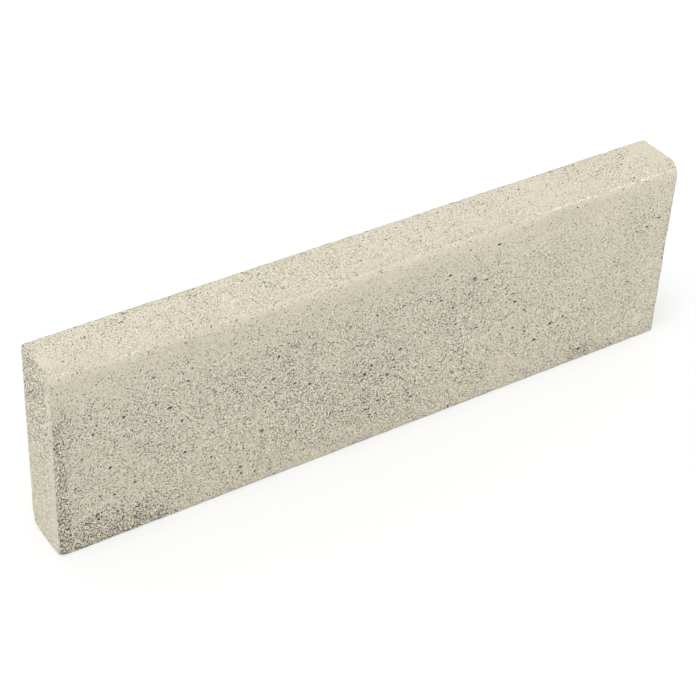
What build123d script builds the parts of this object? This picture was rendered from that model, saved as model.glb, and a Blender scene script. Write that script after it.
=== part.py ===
from math import cos, pi, sin
import os

from build123d import *

# A pressed concrete edging kerb, standing on its narrow bed.
# X runs along the kerb, the walking side with the rounded arris faces -Y, and Z is up from the bed.
# Lengths are in millimetres.

# The stone
kerb_length = 1000.0
kerb_height = 300.0
kerb_thickness = 80.0

# The round on the top arris of the walking side, shaped by the press shoe
nose_radius = 18.0

# The other arrises, eased as they leave the mould
arris_radius = 2.0

# The fine seam on the round, where the press shoe met the mould wall
seam_bead_radius = 0.9
seam_proud = 0.4
seam_round_share = 0.40

# Places that follow from the sizes above
nose_center_y = nose_radius - kerb_thickness / 2
nose_center_z = kerb_height - nose_radius
seam_angle = seam_round_share * pi / 2
seam_center_reach = nose_radius + seam_proud - seam_bead_radius
seam_y = nose_center_y - seam_center_reach * cos(seam_angle)
seam_z = nose_center_z + seam_center_reach * sin(seam_angle)
seam_length = kerb_length - 2 * arris_radius

with BuildPart() as kerb_stone:
    # The section is a tall block with one top corner rounded
    with BuildSketch(Plane.YZ) as section:
        Rectangle(kerb_thickness, kerb_height, align=(Align.CENTER, Align.MIN))
        nose_corner = section.vertices().group_by(Axis.Y)[-1].sort_by(Axis.X)[0]
        fillet(nose_corner, radius=nose_radius)
    extrude(amount=kerb_length / 2, both=True)

    # Both bed arrises, the top arris of the back and the rims of both ends are eased
    long_edges = kerb_stone.edges().filter_by(Axis.X)
    bed_edges = long_edges.group_by(Axis.Z)[0]
    top_back_edge = long_edges.group_by(Axis.Z)[-1].sort_by(Axis.Y)[-1]
    end_edges = kerb_stone.faces().filter_by(Axis.X).edges()
    fillet(bed_edges + [top_back_edge] + end_edges, radius=arris_radius)

    # The seam is a bead sunk in the round, and it stops where the ends are eased
    with BuildSketch(Plane.YZ.offset(-seam_length / 2)):
        with Locations((seam_y, seam_z)):
            Circle(seam_bead_radius)
    extrude(amount=seam_length)

kerb_stone.part.label = "kerb_stone"

os.makedirs("parts", exist_ok=True)
export_step(kerb_stone.part, "parts/kerb_stone.step")
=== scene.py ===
from math import cos, pi, radians, sin

import bpy
import numpy as np
from mathutils import Matrix, Vector, kdtree, noise
from mathutils.geometry import delaunay_2d_cdt


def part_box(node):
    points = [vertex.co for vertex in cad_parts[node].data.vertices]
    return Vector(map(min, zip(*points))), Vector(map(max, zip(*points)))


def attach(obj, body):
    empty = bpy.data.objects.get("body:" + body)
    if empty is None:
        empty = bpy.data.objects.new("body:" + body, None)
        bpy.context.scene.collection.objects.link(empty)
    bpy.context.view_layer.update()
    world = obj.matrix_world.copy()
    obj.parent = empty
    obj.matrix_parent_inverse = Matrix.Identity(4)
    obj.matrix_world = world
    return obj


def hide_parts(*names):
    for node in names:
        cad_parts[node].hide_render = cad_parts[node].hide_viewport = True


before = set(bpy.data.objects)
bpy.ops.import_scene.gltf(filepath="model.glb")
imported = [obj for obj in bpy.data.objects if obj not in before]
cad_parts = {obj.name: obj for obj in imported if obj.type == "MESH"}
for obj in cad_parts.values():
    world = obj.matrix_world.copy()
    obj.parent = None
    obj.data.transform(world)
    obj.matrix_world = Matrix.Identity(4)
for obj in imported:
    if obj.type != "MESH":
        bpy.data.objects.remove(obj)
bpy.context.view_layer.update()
mm = 0.001  # the kerb's code works in millimetres, Blender in metres


# Camera, from the front left and above
shot = {
    "azimuth": -34.46,
    "elevation": 37.74,
    "roll": 3.07,
    "distance": 2.7820,
    "lens": 103.17,
    "target": (0, 0, 0.125),
    "slideRight": -0.02781,
    "slideUp": 0.00365,
    "sensor": 36,
    "farthest": 50,
}


def toward(azimuth, elevation):
    # The direction from the stone to a camera or a lamp, from angles in degrees
    azimuth = radians(azimuth)
    elevation = radians(elevation)
    return Vector((sin(azimuth) * cos(elevation), -cos(azimuth) * cos(elevation), sin(elevation)))


def makeCamera():
    back = toward(shot["azimuth"], shot["elevation"])
    level = Vector((0, 0, 1)).cross(back).normalized()
    turn = Matrix.Rotation(radians(shot["roll"]), 3, back)
    right = turn @ level
    up = turn @ back.cross(level)
    place = Vector(shot["target"]) + back * shot["distance"]
    place += right * shot["slideRight"] + up * shot["slideUp"]

    camera = bpy.data.objects.new("camera", bpy.data.cameras.new("camera"))
    camera.data.lens = shot["lens"]
    camera.data.sensor_width = shot["sensor"]
    camera.data.clip_end = shot["farthest"]
    turned = Matrix((right, up, back)).transposed().to_4x4()
    camera.matrix_world = Matrix.Translation(place) @ turned
    bpy.context.scene.collection.objects.link(camera)
    bpy.context.scene.camera = camera


# Studio: white surround, pale floor, one soft key from the upper left and the sky as fill
studio = {
    "skyStrength": 0.80,
    "keyStrength": 1.45,
    "keyAzimuth": -66,
    "keyElevation": 71,
    "keySoftness": 30,
    "floorSize": 30,
    "floorColor": (0.86, 0.86, 0.86, 1),
    "floorLift": 0.5,  # share of plain white that the camera sees on the floor
}


def makeWorld():
    world = bpy.data.worlds.new("studioWhite")
    world.use_nodes = True
    nodes, links = world.node_tree.nodes, world.node_tree.links
    nodes.clear()
    rays = nodes.new("ShaderNodeLightPath")
    seen, seenAll = nodes.new("ShaderNodeMath"), nodes.new("ShaderNodeMath")
    for node in (seen, seenAll):
        node.operation = "ADD"
        node.use_clamp = True
    strength = nodes.new("ShaderNodeMapRange")
    strength.inputs["To Min"].default_value = studio["skyStrength"]
    strength.inputs["To Max"].default_value = 1
    background = nodes.new("ShaderNodeBackground")
    background.inputs["Color"].default_value = (1, 1, 1, 1)
    output = nodes.new("ShaderNodeOutputWorld")
    links.new(rays.outputs["Is Camera Ray"], seen.inputs[0])
    links.new(rays.outputs["Is Glossy Ray"], seen.inputs[1])
    links.new(seen.outputs[0], seenAll.inputs[0])
    links.new(rays.outputs["Is Transmission Ray"], seenAll.inputs[1])
    links.new(seenAll.outputs[0], strength.inputs["Value"])
    links.new(strength.outputs["Result"], background.inputs["Strength"])
    links.new(background.outputs[0], output.inputs["Surface"])
    bpy.context.scene.world = world


def makeKey():
    lamp = bpy.data.lights.new("softKey", "SUN")
    lamp.energy = studio["keyStrength"]
    lamp.angle = radians(studio["keySoftness"])
    key = bpy.data.objects.new("softKey", lamp)
    toLamp = toward(studio["keyAzimuth"], studio["keyElevation"])
    key.rotation_euler = toLamp.to_track_quat("Z", "Y").to_euler()
    bpy.context.scene.collection.objects.link(key)


def makeFloor():
    side = studio["floorSize"] / 2
    mesh = bpy.data.meshes.new("floor")
    corners = [(-side, -side, 0), (side, -side, 0), (side, side, 0), (-side, side, 0)]
    mesh.from_pydata(corners, [], [(0, 1, 2, 3)])
    floor = bpy.data.objects.new("floor", mesh)
    bpy.context.scene.collection.objects.link(floor)

    material = bpy.data.materials.new("paleFloor")
    material.use_nodes = True
    nodes, links = material.node_tree.nodes, material.node_tree.links
    nodes.clear()
    rays = nodes.new("ShaderNodeLightPath")
    lift = nodes.new("ShaderNodeMath")
    lift.operation = "MULTIPLY"
    lift.inputs[1].default_value = studio["floorLift"]
    paint = nodes.new("ShaderNodeBsdfDiffuse")
    paint.inputs["Color"].default_value = studio["floorColor"]
    white = nodes.new("ShaderNodeEmission")
    mix = nodes.new("ShaderNodeMixShader")
    output = nodes.new("ShaderNodeOutputMaterial")
    links.new(rays.outputs["Is Camera Ray"], lift.inputs[0])
    links.new(lift.outputs[0], mix.inputs["Fac"])
    links.new(paint.outputs[0], mix.inputs[1])
    links.new(white.outputs[0], mix.inputs[2])
    links.new(mix.outputs[0], output.inputs["Surface"])
    mesh.materials.append(material)


makeCamera()
makeWorld()
makeKey()
makeFloor()
bpy.context.scene.view_settings.view_transform = "Standard"
print("stage: camera, light and floor")


# The kerb. Lengths are in millimetres.
kerb = {
    "seed": 11,
    "noseRadius": 18,

    # The seam on the round, where the press shoe met the mould wall
    "seamAngle": 36,              # degrees up the round from the walking side
    "seamProud": 0.4,
    "seamWidth": 1.0,
    "seamAlong": (-480, -150, 200, 290),
    "seamStrength": (0.64, 0.38, 0.26, 1.00),  # at the places above
    "seamBase": 0.75,
    "seamFineSize": 9,            # it comes and goes in short and in long stretches
    "seamFineAmount": 1.1,
    "seamBroadSize": 40,
    "seamBroadAmount": 0.8,
    "seamLeast": 0.1,
    "seamEndGap": 4,
    "seamEndFade": 6,
    "seamStep": 0.3,              # how far the wall side lies back just under the seam
    "seamStepFade": 9,
    "seamStepReach": 60,
    "seamReach": 90,              # how far below the round the front has a distance to the seam

    # The other arrises
    "arrisRadius": 1.8,
    "arrisWear": 2.3,             # how much more the arrises are rounded here and there
    "wearSize": 22,
    "wearBase": 0.15,
    "chipSize": 6,
    "chipFrom": 0.12,
    "chipAmount": 1.4,
    "frontCornerWear": (5, 12),   # what the left bottom corners have lost, and how far it reaches
    "backCornerWear": (6, 20),
    "rimPaintedShadeShare": 0.25,         # share of the painted shade along the arrises that the top rims and the left front arris get, against the others
    "paleRimIn": 8,
    "paleRimDown": 22,
    "paleRimUp": 14,
    "sharpAngle": 55,

    # The surface
    "grainDepth": 0.06,
    "grainShare": (0.2, 1.2),     # share of that depth on smooth concrete, and what rough concrete adds
    "grainInPores": 0.3,
    "waveDepth": 0.25,
    "waveSize": 90,
    "broadSize": 60,              # how unevenly it is open and rough
    "broadAmount": 0.14,
    "closeSize": 17,
    "closeAmount": 0.18,

    # Pores
    "poreTries": 9000,
    "poreEndShare": 0.04,         # share of the tries that each end gets
    "poreMargin": 2,
    "poreBedMargin": 3,
    "poreGather": 1.6,            # how much they keep to the open areas
    "poreSmall": 0.6,
    "poreSpread": 0.42,
    "poreLargest": 2.0,
    "poreLargestRound": 0.9,      # the press shoe closes the larger ones on the round
    "poreStretch": 0.7,
    "poreDepth": (0.8, 1.5),      # in radii
    "poreApart": 1.15,            # least distance of two, against the sum of their half lengths
    "poreCell": 12,
    "poreEightFrom": 1.1,         # from this half size on the rim has eight points and not six
    "poreTurn": 0.25,             # how unevenly the rim's points are spread
    "poreRim": (0.8, 1.15),
    "poreRing": (0.45, 0.65),     # size of the ring part way down, against the rim
    "poreRingDepth": 0.8,
    "poreRingPit": 0.9,           # how far down it counts as, for the painted shade in the pore
    "poreShift": 0.1,             # how far the bottom is off the middle
    "draggedShare": 0.05,         # pores that the mould has drawn out along the kerb
    "draggedStretch": (2.2, 4.5),
    "draggedLargest": 1.0,

    # Larger voids, in the front only
    "voidCount": 56,
    "voidTries": 40,              # for each one
    "voidGather": 3,              # how much they keep to the open areas
    "voidSmall": 1.6,             # half the height of the smallest one
    "voidSpread": 0.55,
    "voidLargest": 2.8,
    "voidStretch": 0.5,
    "voidDepth": 2,               # in radii
    "voidEdge": 10,               # how far they keep from the ends and the bed
    "voidTop": 215,

    # Mesh sizes, and the gaps that keep its points apart
    "frontSpacing": 3.7,          # on the front, the top and the ends
    "noseSpacing": 2.4,
    "backSpacing": 5.4,           # on the back and the bed
    "shake": 0.34,                # how far points are off their rows, as a share of the spacing
    "edgeSpacing": 3.0,
    "edgeRows": (0.7, 1.6, 2.8, 4.3),
    "edgeShake": 0.3,
    "edgeGap": 1.3,               # between the last of these rows and the other points
    "rowEnd": 1,
    "hemGap": 2,                  # along the middle of the bed, where the strip closes
    "pointGap": 0.45,
    "seamRows": (0, -0.8, 0.8, -1.9, 1.9),
    "seamSpacing": 2.6,
    "seamGap": 3,
    "poreSearch": 1.4,            # how far pores are looked for, in half lengths of the largest
    "poreClear": 1.55,            # square of the distance in radii that other points keep from a pore
    "rimGap": 0.5,                # how far pores keep from the outlines
    "noseGap": 0.8,
}

# How open (porous) and how rough (grainy) each side is
sideFinish = {
    "front": (0.54, 0.68), "round": (0.14, 0.55), "top": (0.32, 0.45), "back": (0.46, 0.62),
    "bed": (0.60, 0.70), "left": (0.46, 0.95), "right": (0.30, 0.60),
}
finishLow = (0, 0, -3)  # limits for open, rough and pale
finishHigh = (1.2, 1.6, 3)

# Patches that differ: side, centre along, centre up, half length, half height, more open, rougher, paler.
# The paler column is partly the concrete's own tone and partly painted light and shade: the front lighter
# towards its right end, the left end lighter low down, the round and the front edge of the top darker
patchFade = 1.5  # how sharply they end
patches = [
    ("front", -492, 95, 12, 120, 0.38, 0.42, -0.35),
    ("front", -490, 215, 14, 50, 0.02, 0.15, -0.70),
    ("front", -430, 16, 95, 36, 0.48, 0.54, 0.15),
    ("front", -430, 0, 80, 12, 0.46, 0.50, -0.90),
    ("front", -60, 80, 190, 50, 0.12, 0.08, 0.30),
    ("front", 330, 66, 70, 40, 0.12, 0.05, 0),
    ("front", 330, 120, 190, 150, -0.12, 0.06, 0.15),
    ("front", 420, 150, 300, 220, 0, 0, 0.35),
    ("front", 0, 284, 900, 18, -0.32, -0.44, 0.45),
    ("front", 0, 250, 900, 22, -0.18, -0.22, 0.10),
    ("round", 0, 296, 900, 12, 0, 0, -0.50),
    ("front", -370, 285, 170, 22, 0, 0, -0.55),
    ("front", 310, 285, 75, 22, 0, 0, -0.75),
    ("front", 482, 150, 26, 170, -0.18, 0.04, 0.10),
    ("front", 464, 35, 9, 8, -0.50, -0.60, 0.80),
    ("front", 320, 250, 160, 28, 0, 0, 0.30),
    ("front", 370, 12, 50, 14, 0.30, 0.20, -0.40),
    ("front", 40, 120, 260, 100, 0.07, 0.14, 0.25),
    ("left", 0, 235, 50, 80, 0.42, 0.45, 1.70),
    ("left", -33, 150, 9, 190, -0.40, -0.45, 0),
    ("left", 0, 60, 50, 90, -0.12, -0.08, 0.50),
    ("top", -487, -6, 10, 20, -0.30, -0.60, 0.25),
    ("top", 0, -24, 900, 8, 0, 0, -0.35),
    ("top", -220, 0, 260, 60, 0.06, 0.16, 0),
    ("top", 488, 16, 22, 40, -0.35, -0.50, -0.20),
    ("top", 400, 10, 50, 30, 0.12, 0.10, 0),
    ("top", 330, 10, 260, 60, 0.00, -0.10, -0.25),
]

halfLength, halfThick, height = np.array(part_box("kerb_stone")[1]) / mm
noseRadius = kerb["noseRadius"]
noseY = noseRadius - halfThick
noseZ = height - noseRadius
sheetGap = 20
sheetSize = 2 * halfLength + sheetGap  # side of the square that the unrolled faces are laid on
arcPoints = 46
rowShare = 0.866  # distance of the rows of equal triangles, as a share of their sides
noiseSteps = (17.3, 5.1, 9.7)
rng = np.random.default_rng(kerb["seed"])


def sectionPath(inset=0):
    # The section's outline from the middle of the bed round the front, the top and the back
    arc = np.radians(np.linspace(0, 90, arcPoints))
    radius = noseRadius - inset
    edge = halfThick - inset
    y = np.concatenate([[0, -edge], noseY - radius * np.cos(arc), [edge, edge, 0]])
    z = np.concatenate([[inset, inset], noseZ + radius * np.sin(arc), [height - inset, inset, inset]])
    s = np.concatenate([[0], np.cumsum(np.hypot(np.diff(y), np.diff(z)))])
    return s, y, z


pathS, pathY, pathZ = sectionPath()
bedFront = pathS[1]
noseStart = pathS[2]
noseEnd = pathS[-4]
topBack = pathS[-3]
bedBack = pathS[-2]
pathEnd = pathS[-1]
seamS = noseStart + (noseEnd - noseStart) * kerb["seamAngle"] / 90


def spaced(start, end, step):
    count = max(1, round((end - start) / step))
    return np.linspace(start, end, count + 1)


def shaken(values, step):
    return values + rng.uniform(-kerb["edgeShake"], kerb["edgeShake"], len(values)) * step


def sideOfStrip(s):
    sides = np.full(len(s), "bed", dtype="<U5")
    sides[(s > bedFront) & (s <= seamS)] = "front"
    sides[(s > seamS) & (s <= noseEnd)] = "round"
    sides[(s > noseEnd) & (s <= topBack)] = "top"
    sides[(s > topBack) & (s <= bedBack)] = "back"
    return sides


def onStrip(points):
    # Points of the unrolled strip (x, s) to places on the sharp-edged block
    y = np.interp(points[:, 1], pathS, pathY)
    z = np.interp(points[:, 1], pathS, pathZ)
    return np.column_stack([points[:, 0], y, z])


def noiseAt(places, size, layer):
    # Each layer is a piece of the same noise from elsewhere
    shift = Vector([layer * step for step in noiseSteps])
    return np.array([noise.noise(Vector(p) / size + shift) for p in places])


def finishAt(places, sides):
    # How full of pores the face is, how grainy and how much paler, the last partly its own tone and partly
    # painted light and shade
    finish = np.array([(*sideFinish[side], 0) for side in sides])
    for side, along, up, halfAlong, halfUp, moreOpen, rougher, toneAndPaintedLight in patches:
        at = sides == side
        alongAxis = 1 if side in ("left", "right") else 0
        upAxis = 1 if side in ("top", "bed") else 2
        a = (places[at][:, alongAxis] - along) / halfAlong
        b = (places[at][:, upAxis] - up) / halfUp
        finish[at] += np.exp(-(a * a + b * b) ** patchFade)[:, None] * [moreOpen, rougher, toneAndPaintedLight]
    broad = kerb["broadAmount"] * noiseAt(places, kerb["broadSize"], 1)
    close = kerb["closeAmount"] * noiseAt(places, kerb["closeSize"], 2)
    finish[:, :2] += (broad + close)[:, None]
    return np.clip(finish, finishLow, finishHigh).T


def jittered(uStart, uEnd, vStart, vEnd, step):
    # Points in staggered rows, each pushed a little off its place
    rows = []
    for i, v in enumerate(np.arange(vStart, vEnd, step * rowShare)):
        u = np.arange(uStart + (i % 2) * step / 2, uEnd, step)
        rows.append(np.column_stack([u, np.full(len(u), v)]))
    points = np.vstack(rows)
    return points + rng.uniform(-kerb["shake"], kerb["shake"], points.shape) * step


def makePores(uSize, vSize, uStart, vStart, toPlace, sidesOf, tries, given=()):
    # Pores on one unrolled face, the given ones first: centre, the two half sizes, depth
    u = uStart + rng.random(tries) * uSize
    v = vStart + rng.random(tries) * vSize
    points = np.column_stack([u, v])
    places = toPlace(points)
    keep = rng.random(tries) < finishAt(places, sidesOf(points))[0] ** kerb["poreGather"]
    points = points[keep]
    radius = kerb["poreSmall"] * np.exp(kerb["poreSpread"] * np.abs(rng.standard_normal(len(points))))
    onRound = sidesOf(points) == "round"
    radius = np.minimum(radius, np.where(onRound, kerb["poreLargestRound"], kerb["poreLargest"]))
    stretch = 1 + np.maximum(0, rng.standard_normal(len(points))) * kerb["poreStretch"]
    dragged = rng.random(len(points)) < kerb["draggedShare"]
    stretch[dragged] = rng.uniform(*kerb["draggedStretch"], dragged.sum())
    radius[dragged] = np.minimum(radius[dragged], kerb["draggedLargest"])
    depth = radius * rng.uniform(*kerb["poreDepth"], len(points))
    if len(given):
        points = np.vstack([given[:, :2], points])
        stretch = np.concatenate([given[:, 2] / given[:, 3], stretch])
        radius = np.concatenate([given[:, 3], radius])
        depth = np.concatenate([given[:, 3] * kerb["voidDepth"], depth])

    # The given ones come first, then the largest, and one that would touch those before it is left out
    order = np.argsort(-radius[len(given):]) + len(given)
    order = np.concatenate([np.arange(len(given)), order])
    chosen = []
    cells = {}
    for i in order:
        cell = (int(points[i, 0] // kerb["poreCell"]), int(points[i, 1] // kerb["poreCell"]))
        around = [(cell[0] + du, cell[1] + dv) for du in (-1, 0, 1) for dv in (-1, 0, 1)]
        near = [j for key in around for j in cells.get(key, ())]
        reach = radius[i] * stretch[i]
        gaps = [kerb["poreApart"] * (reach + radius[j] * stretch[j]) for j in near]
        if all(np.hypot(*(points[i] - points[j])) > gap for j, gap in zip(near, gaps)):
            cells.setdefault(cell, []).append(i)
            chosen.append(i)
    return points[chosen], radius[chosen] * stretch[chosen], radius[chosen], depth[chosen]


def makeVoids():
    # More of them where the front is open: centre on the strip, the two half sizes
    tries = kerb["voidTries"] * kerb["voidCount"]
    along = rng.uniform(-1, 1, tries) * (halfLength - kerb["voidEdge"])
    up = rng.uniform(kerb["voidEdge"], kerb["voidTop"], tries)
    places = np.column_stack([along, np.full(tries, -halfThick), up])
    openness = finishAt(places, np.full(tries, "front"))[0]
    keep = np.flatnonzero(rng.random(tries) < openness ** kerb["voidGather"])[:kerb["voidCount"]]
    halfUp = kerb["voidSmall"] + kerb["voidSpread"] * np.abs(rng.standard_normal(len(keep)))
    halfUp = np.minimum(halfUp, kerb["voidLargest"])
    stretch = 1 + kerb["voidStretch"] * np.abs(rng.standard_normal(len(keep)))
    return np.column_stack([along[keep], bedFront + up[keep], halfUp * stretch, halfUp])


def poreShape(pores):
    # The mesh points of every pore: an uneven rim, a ring part way down and the bottom
    points = []
    depths = []
    pits = []
    for centre, reach, radius, depth in zip(*pores):
        count = 6 if reach < kerb["poreEightFrom"] else 8
        turn = rng.uniform(-kerb["poreTurn"], kerb["poreTurn"], count)
        angles = (np.arange(count) + turn) * 2 * pi / count
        rim = rng.uniform(*kerb["poreRim"], count)
        oval = np.column_stack([np.cos(angles) * reach, np.sin(angles) * radius])
        points.append(centre + oval * rim[:, None])
        depths.append(np.zeros(count))
        pits.append(np.zeros(count))
        inner = slice(0, count, 2)
        points.append(centre + oval[inner] * rim[inner, None] * rng.uniform(*kerb["poreRing"]))
        depths.append(np.full(len(angles[inner]), depth * kerb["poreRingDepth"]))
        pits.append(np.full(len(angles[inner]), kerb["poreRingPit"]))
        points.append(centre[None] + rng.uniform(-kerb["poreShift"], kerb["poreShift"], (1, 2)) * radius)
        depths.append(np.array([depth]))
        pits.append(np.ones(1))
    return np.vstack(points), np.concatenate(depths), np.concatenate(pits)


def treeOf(points):
    tree = kdtree.KDTree(len(points))
    for i, (u, v) in enumerate(points):
        tree.insert((u, v, 0), i)
    tree.balance()
    return tree


def clearOf(points, others, gap):
    # The points with none of the others nearer than the gap
    tree = treeOf(others)
    return points[[tree.find((u, v, 0))[2] > gap for u, v in points]]


def outsidePores(points, pores):
    # The points that lie clear of every pore
    centres, reaches, radii = pores[:3]
    tree = treeOf(centres)
    search = reaches.max() * kerb["poreSearch"]
    keep = []
    for u, v in points:
        inside = False
        for place, i, distance in tree.find_range((u, v, 0), search):
            a = (u - place[0]) / reaches[i]
            b = (v - place[1]) / radii[i]
            if a * a + b * b < kerb["poreClear"]:
                inside = True
                break
        keep.append(not inside)
    return points[keep]


def stripPoints():
    # The rims and hems that the strip shares with other faces, its other mesh points, and its pores
    rows = kerb["edgeRows"]
    marks = [0, bedFront, noseStart, noseEnd, topBack, bedBack, pathEnd]
    rimS = np.unique(np.concatenate([spaced(a, b, kerb["edgeSpacing"]) for a, b in zip(marks, marks[1:])]))
    hems = spaced(-halfLength, halfLength, kerb["backSpacing"])[1:-1]
    fixed = [np.column_stack([np.full(len(rimS), end), rimS]) for end in (-halfLength, halfLength)]
    fixed += [np.column_stack([hems, np.full(len(hems), s)]) for s in (0, pathEnd)]
    fixed = np.vstack(fixed)

    soft = []
    reach = halfLength - rows[-1] - kerb["rowEnd"]
    for sharp in (bedFront, topBack, bedBack):
        for offset in (0, *rows, *(-r for r in rows)):
            x = shaken(spaced(-reach, reach, kerb["edgeSpacing"]), kerb["edgeSpacing"])
            soft.append(np.column_stack([x, np.full(len(x), sharp + offset)]))
    for offset in rows:
        for end in (-halfLength + offset, halfLength - offset):
            s = shaken(rimS[1:-1], kerb["edgeSpacing"])
            s[[0, -1]] = np.clip(s[[0, -1]], kerb["rowEnd"], pathEnd - kerb["rowEnd"])
            soft.append(np.column_stack([np.full(len(s), end), s]))
    for offset in kerb["seamRows"]:
        x = shaken(spaced(-reach, reach, kerb["seamSpacing"]), kerb["seamSpacing"])
        soft.append(np.column_stack([x, np.full(len(x), seamS + offset)]))
    soft = clearOf(np.vstack(soft), fixed, kerb["pointGap"])

    margin = kerb["poreMargin"]
    bedMargin = kerb["poreBedMargin"]
    pores = makePores(2 * halfLength - 2 * margin, pathEnd - 2 * bedMargin, -halfLength + margin, bedMargin,
                      onStrip, lambda p: sideOfStrip(p[:, 1]), kerb["poreTries"], makeVoids())

    edge = rows[-1] + kerb["edgeGap"]
    back, front = kerb["backSpacing"], kerb["frontSpacing"]
    spacings = (back, front, kerb["noseSpacing"], front, back, back)
    fill = []
    for start, end, spacing in zip(marks, marks[1:], spacings):
        points = jittered(-halfLength + edge, halfLength - edge, start + spacing / 2, end, spacing)
        points = points[(points[:, 1] > start) & (points[:, 1] < end)]
        fill.append(points[np.abs(points[:, 0]) < halfLength - edge])
    fill = np.vstack(fill)
    for sharp in (bedFront, topBack, bedBack):
        fill = fill[np.abs(fill[:, 1] - sharp) > edge]
    fill = fill[np.abs(fill[:, 1] - seamS) > kerb["seamGap"]]
    fill = fill[(fill[:, 1] > kerb["hemGap"]) & (fill[:, 1] < pathEnd - kerb["hemGap"])]
    soft = outsidePores(np.vstack([soft, fill]), pores)
    return fixed, len(rimS), len(hems), soft, pores


def triangulate(points):
    out = delaunay_2d_cdt([Vector(p) for p in points], [], [], 0, 1e-9)
    if len(out[0]) != len(points):
        print("stage: the triangulation merged", len(points) - len(out[0]), "points")
    origin = np.array([ids[0] for ids in out[3]])
    return origin[np.array(out[2])]


def layWalls():
    # All long sides, unrolled to one strip
    fixed, rimCount, hemCount, soft, pores = stripPoints()
    porePoints, poreDepths, porePits = poreShape(pores)
    # A pore point past the ends would leave stray faces
    within = np.abs(porePoints[:, 0]) < halfLength - kerb["rimGap"]
    chart = np.vstack([fixed, soft, porePoints[within]])
    plain = np.zeros(len(fixed) + len(soft))
    faces = triangulate(chart)
    print("stage: walls laid out,", len(chart), "points,", len(pores[0]), "pores")

    # The first and the last row are one row of the bed, so the last one's points become the first one's
    same = np.arange(len(chart))
    same[rimCount - 1] = 0
    same[2 * rimCount - 1] = rimCount
    firstHem = 2 * rimCount
    same[firstHem + hemCount:firstHem + 2 * hemCount] = np.arange(firstHem, firstHem + hemCount)
    walls = {
        "places": onStrip(chart),
        "sides": sideOfStrip(chart[:, 1]),
        "depth": np.concatenate([plain, poreDepths[within]]),
        "pit": np.concatenate([plain, porePits[within]]),
        "faces": same[faces],
        "uv": chart[faces] + [halfLength, 0],
    }
    return walls, rimCount


def layEnd(name, sign, rim, rimPoints, firstIndex, sheetPlace):
    # One end, which shares the points of its rim with the walls
    soft = []
    for offset in kerb["edgeRows"]:
        s, y, z = sectionPath(offset)
        along = shaken(spaced(0, s[-1], kerb["edgeSpacing"])[:-1], kerb["edgeSpacing"])
        along = np.clip(along, 0, s[-1])
        soft.append(np.column_stack([np.interp(along, s, y), np.interp(along, s, z)]))
    soft = clearOf(np.vstack(soft), rimPoints, kerb["pointGap"])
    margin = kerb["poreMargin"]
    pores = makePores(2 * halfThick - 2 * margin, height - 2 * margin, -halfThick + margin, margin,
                      lambda p: np.column_stack([np.full(len(p), sign * halfLength), p]),
                      lambda p: np.full(len(p), name), round(kerb["poreTries"] * kerb["poreEndShare"]))
    edge = kerb["edgeRows"][-1] + kerb["edgeGap"]
    fill = jittered(-halfThick + edge, halfThick - edge, edge, height - edge, kerb["frontSpacing"])
    inNose = (fill[:, 0] < noseY) & (fill[:, 1] > noseZ)
    far = np.hypot(fill[:, 0] - noseY, fill[:, 1] - noseZ) > noseRadius - edge
    fill = fill[~(inNose & far)]
    soft = outsidePores(np.vstack([soft, fill]), pores)

    porePoints, poreDepths, porePits = poreShape(pores)
    y, z = porePoints.T
    gone = np.hypot(np.minimum(0, y - noseY), np.maximum(0, z - noseZ))
    within = (gone < noseRadius - kerb["noseGap"]) & (np.abs(y) < halfThick - kerb["rimGap"])
    within &= (z > kerb["rimGap"]) & (z < height - kerb["rimGap"])
    inner = np.vstack([soft, porePoints[within]])
    plain = np.zeros(len(soft))
    chart = np.vstack([rimPoints, inner])
    faces = triangulate(chart)
    if sign < 0:
        faces = faces[:, ::-1]
    return {
        "places": np.column_stack([np.full(len(inner), sign * halfLength), inner]),
        "sides": np.full(len(inner), name),
        "depth": np.concatenate([plain, poreDepths[within]]),
        "pit": np.concatenate([plain, porePits[within]]),
        "faces": np.concatenate([rim, firstIndex + np.arange(len(inner))])[faces],
        "uv": chart[faces][:, :, ::-1] + sheetPlace,
    }


def cornerCut(places, radius):
    # Rounds the sharp block's arrises: each point goes in to the arc of its own radius
    x, y, z = places.T
    inNose = (y < noseY) & (z > noseZ)
    outward = np.hypot(y - noseY, z - noseZ)
    outward[outward == 0] = 1
    depthNose = noseRadius - np.hypot(y - noseY, z - noseZ)
    push = np.zeros_like(places)
    push[:, 0] = np.maximum(0, radius - (halfLength - np.abs(x))) * np.sign(x)
    front = np.maximum(0, radius - (y + halfThick))
    back = np.maximum(0, radius - (halfThick - y))
    bed = np.maximum(0, radius - z)
    top = np.maximum(0, radius - (height - z))
    around = np.maximum(0, radius - depthNose)
    push[:, 1] = np.where(inNose, around * (y - noseY) / outward, back - front)
    push[:, 2] = np.where(inNose, around * (z - noseZ) / outward, top - bed)
    size = np.linalg.norm(push, axis=1)
    lean = np.where(inNose, np.minimum(np.abs(push[:, 0]), around), np.sort(np.abs(push), axis=1)[:, 1])
    bent = np.clip(2 * lean / radius, 0, 1)
    normal = push / size[:, None]
    return places - normal * np.maximum(0, size - radius)[:, None], normal, bent


def cornerWear(places, y, amount, reach):
    # How much more round the arrises are near a bottom corner of the left end
    away = np.linalg.norm(places - [-halfLength, y, 0], axis=1)
    return amount * np.exp(-(away / reach) ** 2)


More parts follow.
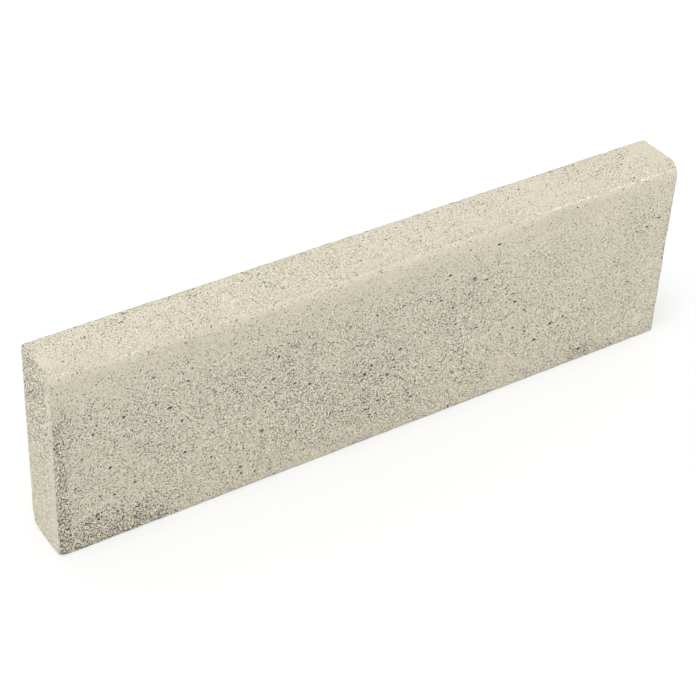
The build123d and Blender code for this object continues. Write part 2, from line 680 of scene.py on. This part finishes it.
def wearArrises(places):
    # Arrises wear unevenly, and the left bottom corners have lost more
    worn = np.maximum(0, noiseAt(places, kerb["wearSize"], 3) + kerb["wearBase"])
    chipped = np.maximum(0, noiseAt(places, kerb["chipSize"], 4) - kerb["chipFrom"])
    radius = kerb["arrisRadius"] + kerb["arrisWear"] * (worn + kerb["chipAmount"] * chipped)
    radius += (cornerWear(places, -halfThick, *kerb["frontCornerWear"])
               + cornerWear(places, halfThick, *kerb["backCornerWear"]))
    rounded, normal, bent = cornerCut(places, radius)

    # The rims of the ends along the top, and the front arris of the left end, get little of the painted
    # shade along the arrises
    x, y, z = places.T
    rimIn = kerb["paleRimIn"]
    topRim = (z > height - kerb["paleRimDown"]) & (np.abs(x) > halfLength - rimIn)
    frontLeft = (x < rimIn - halfLength) & (y < rimIn - halfThick) & (z > kerb["paleRimUp"])
    bent[topRim | frontLeft] *= kerb["rimPaintedShadeShare"]
    return rounded, normal, bent


def seamPlace(places):
    # Distance along the section on the front and the round, and far away elsewhere
    y, z = places[:, 1], places[:, 2]
    angle = np.arctan2(np.maximum(0, z - noseZ), np.maximum(1e-6, noseY - y))
    along = noseStart + angle * noseRadius + np.minimum(0, z - noseZ)
    return np.where((y < noseY + 0.01) & (z > noseZ - kerb["seamReach"]), along, -1000)


def seamShape(places):
    # The seam's profile, how strong it is, and how far the wall side steps back below it
    fine = kerb["seamFineAmount"] * noiseAt(places, kerb["seamFineSize"], 6)
    broad = kerb["seamBroadAmount"] * noiseAt(places, kerb["seamBroadSize"], 7)
    strength = np.clip(kerb["seamBase"] + fine + broad, kerb["seamLeast"], 1)
    strength *= np.interp(places[:, 0], kerb["seamAlong"], kerb["seamStrength"])
    toEnd = halfLength - kerb["seamEndGap"] - np.abs(places[:, 0])
    strength *= np.clip(toEnd / kerb["seamEndFade"], 0, 1)
    profile = np.exp(-((seamPlace(places) - seamS) / kerb["seamWidth"]) ** 2)
    below = np.maximum(0, seamS - seamPlace(places))
    stepped = (below > 0) & (below < kerb["seamStepReach"])
    step = np.where(stepped, kerb["seamStep"] * np.exp(-below / kerb["seamStepFade"]), 0)
    return profile, strength, step


def buildKerb():
    walls, rimCount = layWalls()
    sheets = [walls]
    total = len(walls["places"])
    for name, rimFirst, sign, across in (("left", 0, -1, 0), ("right", rimCount, 1, height + sheetGap)):
        rim = np.arange(rimFirst, rimFirst + rimCount - 1)
        sheetPlace = [across, pathEnd + sheetGap + halfThick]
        sheets.append(layEnd(name, sign, rim, walls["places"][rim][:, 1:], total, sheetPlace))
        total += len(sheets[-1]["places"])
    places, sides, depth, pit, faces, uv = (
        np.concatenate([sheet[key] for sheet in sheets])
        for key in ("places", "sides", "depth", "pit", "faces", "uv"))
    print("stage: ends laid out,", total, "points,", len(faces), "triangles")

    rounded, normal, bent = wearArrises(places)
    porous, rough, pale = finishAt(places, sides)
    smoothShare, roughShare = kerb["grainShare"]
    grain = rng.random(len(places)) ** 2 * kerb["grainDepth"] * (smoothShare + roughShare * rough)
    grain[pit > 0] *= kerb["grainInPores"]
    wave = kerb["waveDepth"] * (0.5 + 0.5 * noiseAt(places, kerb["waveSize"], 5))
    profile, strength, step = seamShape(places)
    grain *= 1 - profile
    rounded -= normal * (grain + wave + depth + step)[:, None]
    rounded += normal * (kerb["seamProud"] * profile * strength)[:, None]

    mesh = bpy.data.meshes.new("kerbStone")
    mesh.from_pydata((rounded * mm).tolist(), [], faces.tolist())
    mesh.update()
    for name, values in (("porous", porous), ("rough", rough), ("pale", pale), ("pit", pit),
                         ("arris", bent), ("seam", profile * strength)):
        mesh.attributes.new(name, "FLOAT", "POINT").data.foreach_set("value", values.astype(np.float32))
    layer = mesh.uv_layers.new(name="OFBake")
    uv = (uv.reshape(-1, 2) + sheetGap / 2) / sheetSize
    layer.data.foreach_set("uv", uv.astype(np.float32).ravel())
    mesh.polygons.foreach_set("use_smooth", np.ones(len(mesh.polygons), bool))
    mesh.set_sharp_from_angle(angle=radians(kerb["sharpAngle"]))
    mesh.validate()
    piece = bpy.data.objects.new("kerbStone", mesh)
    bpy.context.scene.collection.objects.link(piece)
    return piece


kerbStone = buildKerb()
print("stage: kerb mesh,", len(kerbStone.data.polygons), "triangles")


# The concrete: fine beige grain, pale sand grains, open pits darkened with painted shade
concrete = {
    "color": (0.630, 0.588, 0.469, 1),
    # painted shade in the pits and pores
    "pitShadeColor": (0.042, 0.038, 0.028, 1),
    "toneAndPaintedLightAmount": 0.10,
    "cloudSize": 0.110,
    "cloudAmount": 0.035,
    "patchSize": 0.024,
    "patchAmount": 0.03,
    "clusterSize": 0.012,
    "clusterAmount": 0.42,
    "clusterPits": 0.6,       # how much of that the pits get
    "showRough": 1.4,         # the roughness at which the grain shows most
    "showAmount": (0.08, 1.86),
    "sandSize": 0.0014,       # the single grains of sand, each of its own tone
    "sandCells": 0.55,        # with clear edges
    "sandSoft": 2.1,          # running into each other
    "sandSoftSize": 0.9,      # as a share of the size above
    "sandAmount": 0.80,
    "grainSize": 0.0019,      # one fine noise gives pale grains at its high end and pits at its low end
    "grainAmount": 0.6,
    "grainFrom": 0.60,
    "grainEdge": 0.08,
    "grainPale": 0.15,
    "grainTurn": (0.6, 0.4, 0.3),
    "pitFrom": (0.291, 0.450),  # on closed and on open concrete
    "pitEdge": 0.03,
    "holeSize": 0.0075,
    "holeFrom": (0.18, 0.28),
    "poreShade": (0.05, 0.65),  # how far down the pores of the mesh take painted shade
    # painted highlight along the seam's bead, broken into pale specks by the noise below
    "seamPaintedHighlight": 0.56,
    "seamBreakSize": 0.004,
    "seamBreakFrom": (0.36, 0.58),
    "seamBreakShare": (0.05, 1.2),
    # painted shade along the arrises
    "arrisPaintedShade": 0.32,
    "arrisPits": 0.5,
    "darkest": 0.12,
    "palest": 1.60,
    "specular": 0.25,
    "roughness": 0.92,
    "roughnessSpread": 0.06,
    "bumpDepth": 0.0006,
    "bumpStrength": 0.8,
    "bumpSand": 0.5,
    "bumpPits": 1.4,
}


def makeConcrete():
    material = bpy.data.materials.new("pressedConcrete")
    material.use_nodes = True
    nodes, links = material.node_tree.nodes, material.node_tree.links
    shader = nodes["Principled BSDF"]
    shader.inputs["Specular IOR Level"].default_value = concrete["specular"]

    def plug(source, socket):
        if isinstance(source, (int, float)):
            socket.default_value = source
        else:
            links.new(source, socket)

    def math(operation, a, b=0.0):
        node = nodes.new("ShaderNodeMath")
        node.operation = operation
        plug(a, node.inputs[0])
        plug(b, node.inputs[1])
        return node.outputs[0]

    def remap(value, fromMin, fromMax, toMin=0.0, toMax=1.0, smooth=False):
        node = nodes.new("ShaderNodeMapRange")
        node.interpolation_type = "SMOOTHSTEP" if smooth else "LINEAR"
        for source, name in ((value, "Value"), (fromMin, "From Min"), (fromMax, "From Max"),
                             (toMin, "To Min"), (toMax, "To Max")):
            plug(source, node.inputs[name])
        return node.outputs["Result"]

    def noiseField(place, size, detail=2.0, roughness=0.5):
        node = nodes.new("ShaderNodeTexNoise")
        node.inputs["Scale"].default_value = 1 / size
        node.inputs["Detail"].default_value = detail
        node.inputs["Roughness"].default_value = roughness
        links.new(place, node.inputs["Vector"])
        return node.outputs["Fac"]

    def centred(tone):
        return math("SUBTRACT", tone, 0.5)

    def surface(name):
        node = nodes.new("ShaderNodeAttribute")
        node.attribute_name = name
        return node.outputs["Fac"]

    def split(color):
        node = nodes.new("ShaderNodeSeparateColor")
        links.new(color, node.inputs[0])
        return node.outputs

    place = nodes.new("ShaderNodeTexCoord").outputs["Object"]
    openness = surface("porous")
    rough = surface("rough")
    toneAndPaintedLight = surface("pale")
    pit = surface("pit")
    seam = surface("seam")
    arris = surface("arris")

    cloud = math("MULTIPLY", centred(noiseField(place, concrete["cloudSize"])), concrete["cloudAmount"] * 2)
    patch = math("MULTIPLY", centred(noiseField(place, concrete["patchSize"], 4)),
                 concrete["patchAmount"] * 2)
    turned = nodes.new("ShaderNodeMapping")
    turned.inputs["Rotation"].default_value = concrete["grainTurn"]
    links.new(place, turned.inputs["Vector"])
    turned = turned.outputs[0]
    sand = nodes.new("ShaderNodeTexVoronoi")
    sand.inputs["Scale"].default_value = 1 / concrete["sandSize"]
    links.new(turned, sand.inputs["Vector"])
    cellTone = centred(split(sand.outputs["Color"])[0])
    softTone = centred(noiseField(turned, concrete["sandSize"] * concrete["sandSoftSize"], 1))
    sandTone = math("ADD", math("MULTIPLY", cellTone, concrete["sandCells"]),
                    math("MULTIPLY", softTone, concrete["sandSoft"]))
    fine = noiseField(turned, concrete["grainSize"], 1)
    grains = remap(fine, concrete["grainFrom"], concrete["grainFrom"] + concrete["grainEdge"], smooth=True)

    # How strongly the grain shows follows how rough the surface is, and it comes in clusters
    cluster = centred(noiseField(place, concrete["clusterSize"], 1))
    show = math("ADD", rough, math("MULTIPLY", cluster, concrete["clusterAmount"] * 2))
    show = remap(show, 0, concrete["showRough"], *concrete["showAmount"])
    grain = math("ADD", math("MULTIPLY", sandTone, concrete["sandAmount"]),
                 math("MULTIPLY", centred(fine), concrete["grainAmount"]))
    grain = math("ADD", grain, math("MULTIPLY", grains, concrete["grainPale"]))
    grain = math("MULTIPLY", grain, show)

    clusterPits = concrete["clusterAmount"] * concrete["clusterPits"]
    openness = math("ADD", openness, math("MULTIPLY", cluster, clusterPits))
    openness = math("ADD", openness, math("MULTIPLY", arris, concrete["arrisPits"]))

    # Pits: irregular spots of painted shade, more and larger where the concrete is open
    def pits(field, limits):
        limit = remap(openness, 0, 1, *limits)
        return remap(math("SUBTRACT", limit, field), 0, concrete["pitEdge"], smooth=True)

    small = pits(fine, concrete["pitFrom"])
    large = pits(noiseField(turned, concrete["holeSize"], 2, 0.6), concrete["holeFrom"])
    paintedPitShade = math("MAXIMUM", small, large)
    paintedPitShade = math("MAXIMUM", paintedPitShade, remap(pit, *concrete["poreShade"], smooth=True))

    tone = math("ADD", math("ADD", cloud, patch), grain)
    # Paler and darker patches: partly the concrete's own tone, partly painted light and shade
    tone = math("ADD", tone, math("MULTIPLY", toneAndPaintedLight, concrete["toneAndPaintedLightAmount"]))
    # Painted shade along the arrises, less on the top rims of the ends and the left front arris
    tone = math("SUBTRACT", tone, math("MULTIPLY", arris, concrete["arrisPaintedShade"]))
    # Painted highlight along the seam's bead, broken into pale specks
    brokenSeamHighlight = remap(noiseField(place, concrete["seamBreakSize"], 2), *concrete["seamBreakFrom"],
                   *concrete["seamBreakShare"])
    tone = math("ADD", tone, math("MULTIPLY", math("MULTIPLY", seam, brokenSeamHighlight), concrete["seamPaintedHighlight"]))
    tone = math("ADD", tone, 1.0)
    tone = math("MINIMUM", math("MAXIMUM", tone, concrete["darkest"]), concrete["palest"])
    shade = nodes.new("ShaderNodeVectorMath")
    shade.operation = "SCALE"
    shade.inputs[0].default_value = concrete["color"][:3]
    links.new(tone, shade.inputs["Scale"])
    # Painted shade in the pits and pores
    mix = nodes.new("ShaderNodeMix")
    mix.data_type = "RGBA"
    links.new(paintedPitShade, mix.inputs["Factor"])
    links.new(shade.outputs[0], mix.inputs["A"])
    mix.inputs["B"].default_value = concrete["pitShadeColor"]
    links.new(mix.outputs["Result"], shader.inputs["Base Color"])

    matt = concrete["roughness"]
    spread = concrete["roughnessSpread"]
    links.new(remap(sandTone, -0.5, 0.5, matt - spread, matt + spread), shader.inputs["Roughness"])

    relief = math("MULTIPLY", math("ADD", math("MULTIPLY", sandTone, concrete["bumpSand"]), grains), show)
    relief = math("SUBTRACT", relief, math("MULTIPLY", paintedPitShade, concrete["bumpPits"]))
    bump = nodes.new("ShaderNodeBump")
    bump.inputs["Distance"].default_value = concrete["bumpDepth"]
    bump.inputs["Strength"].default_value = concrete["bumpStrength"]
    links.new(relief, bump.inputs["Height"])
    links.new(bump.outputs["Normal"], shader.inputs["Normal"])
    return material


kerbStone.data.materials.append(makeConcrete())
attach(kerbStone, "root")
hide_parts("kerb_stone")
print("stage: concrete")
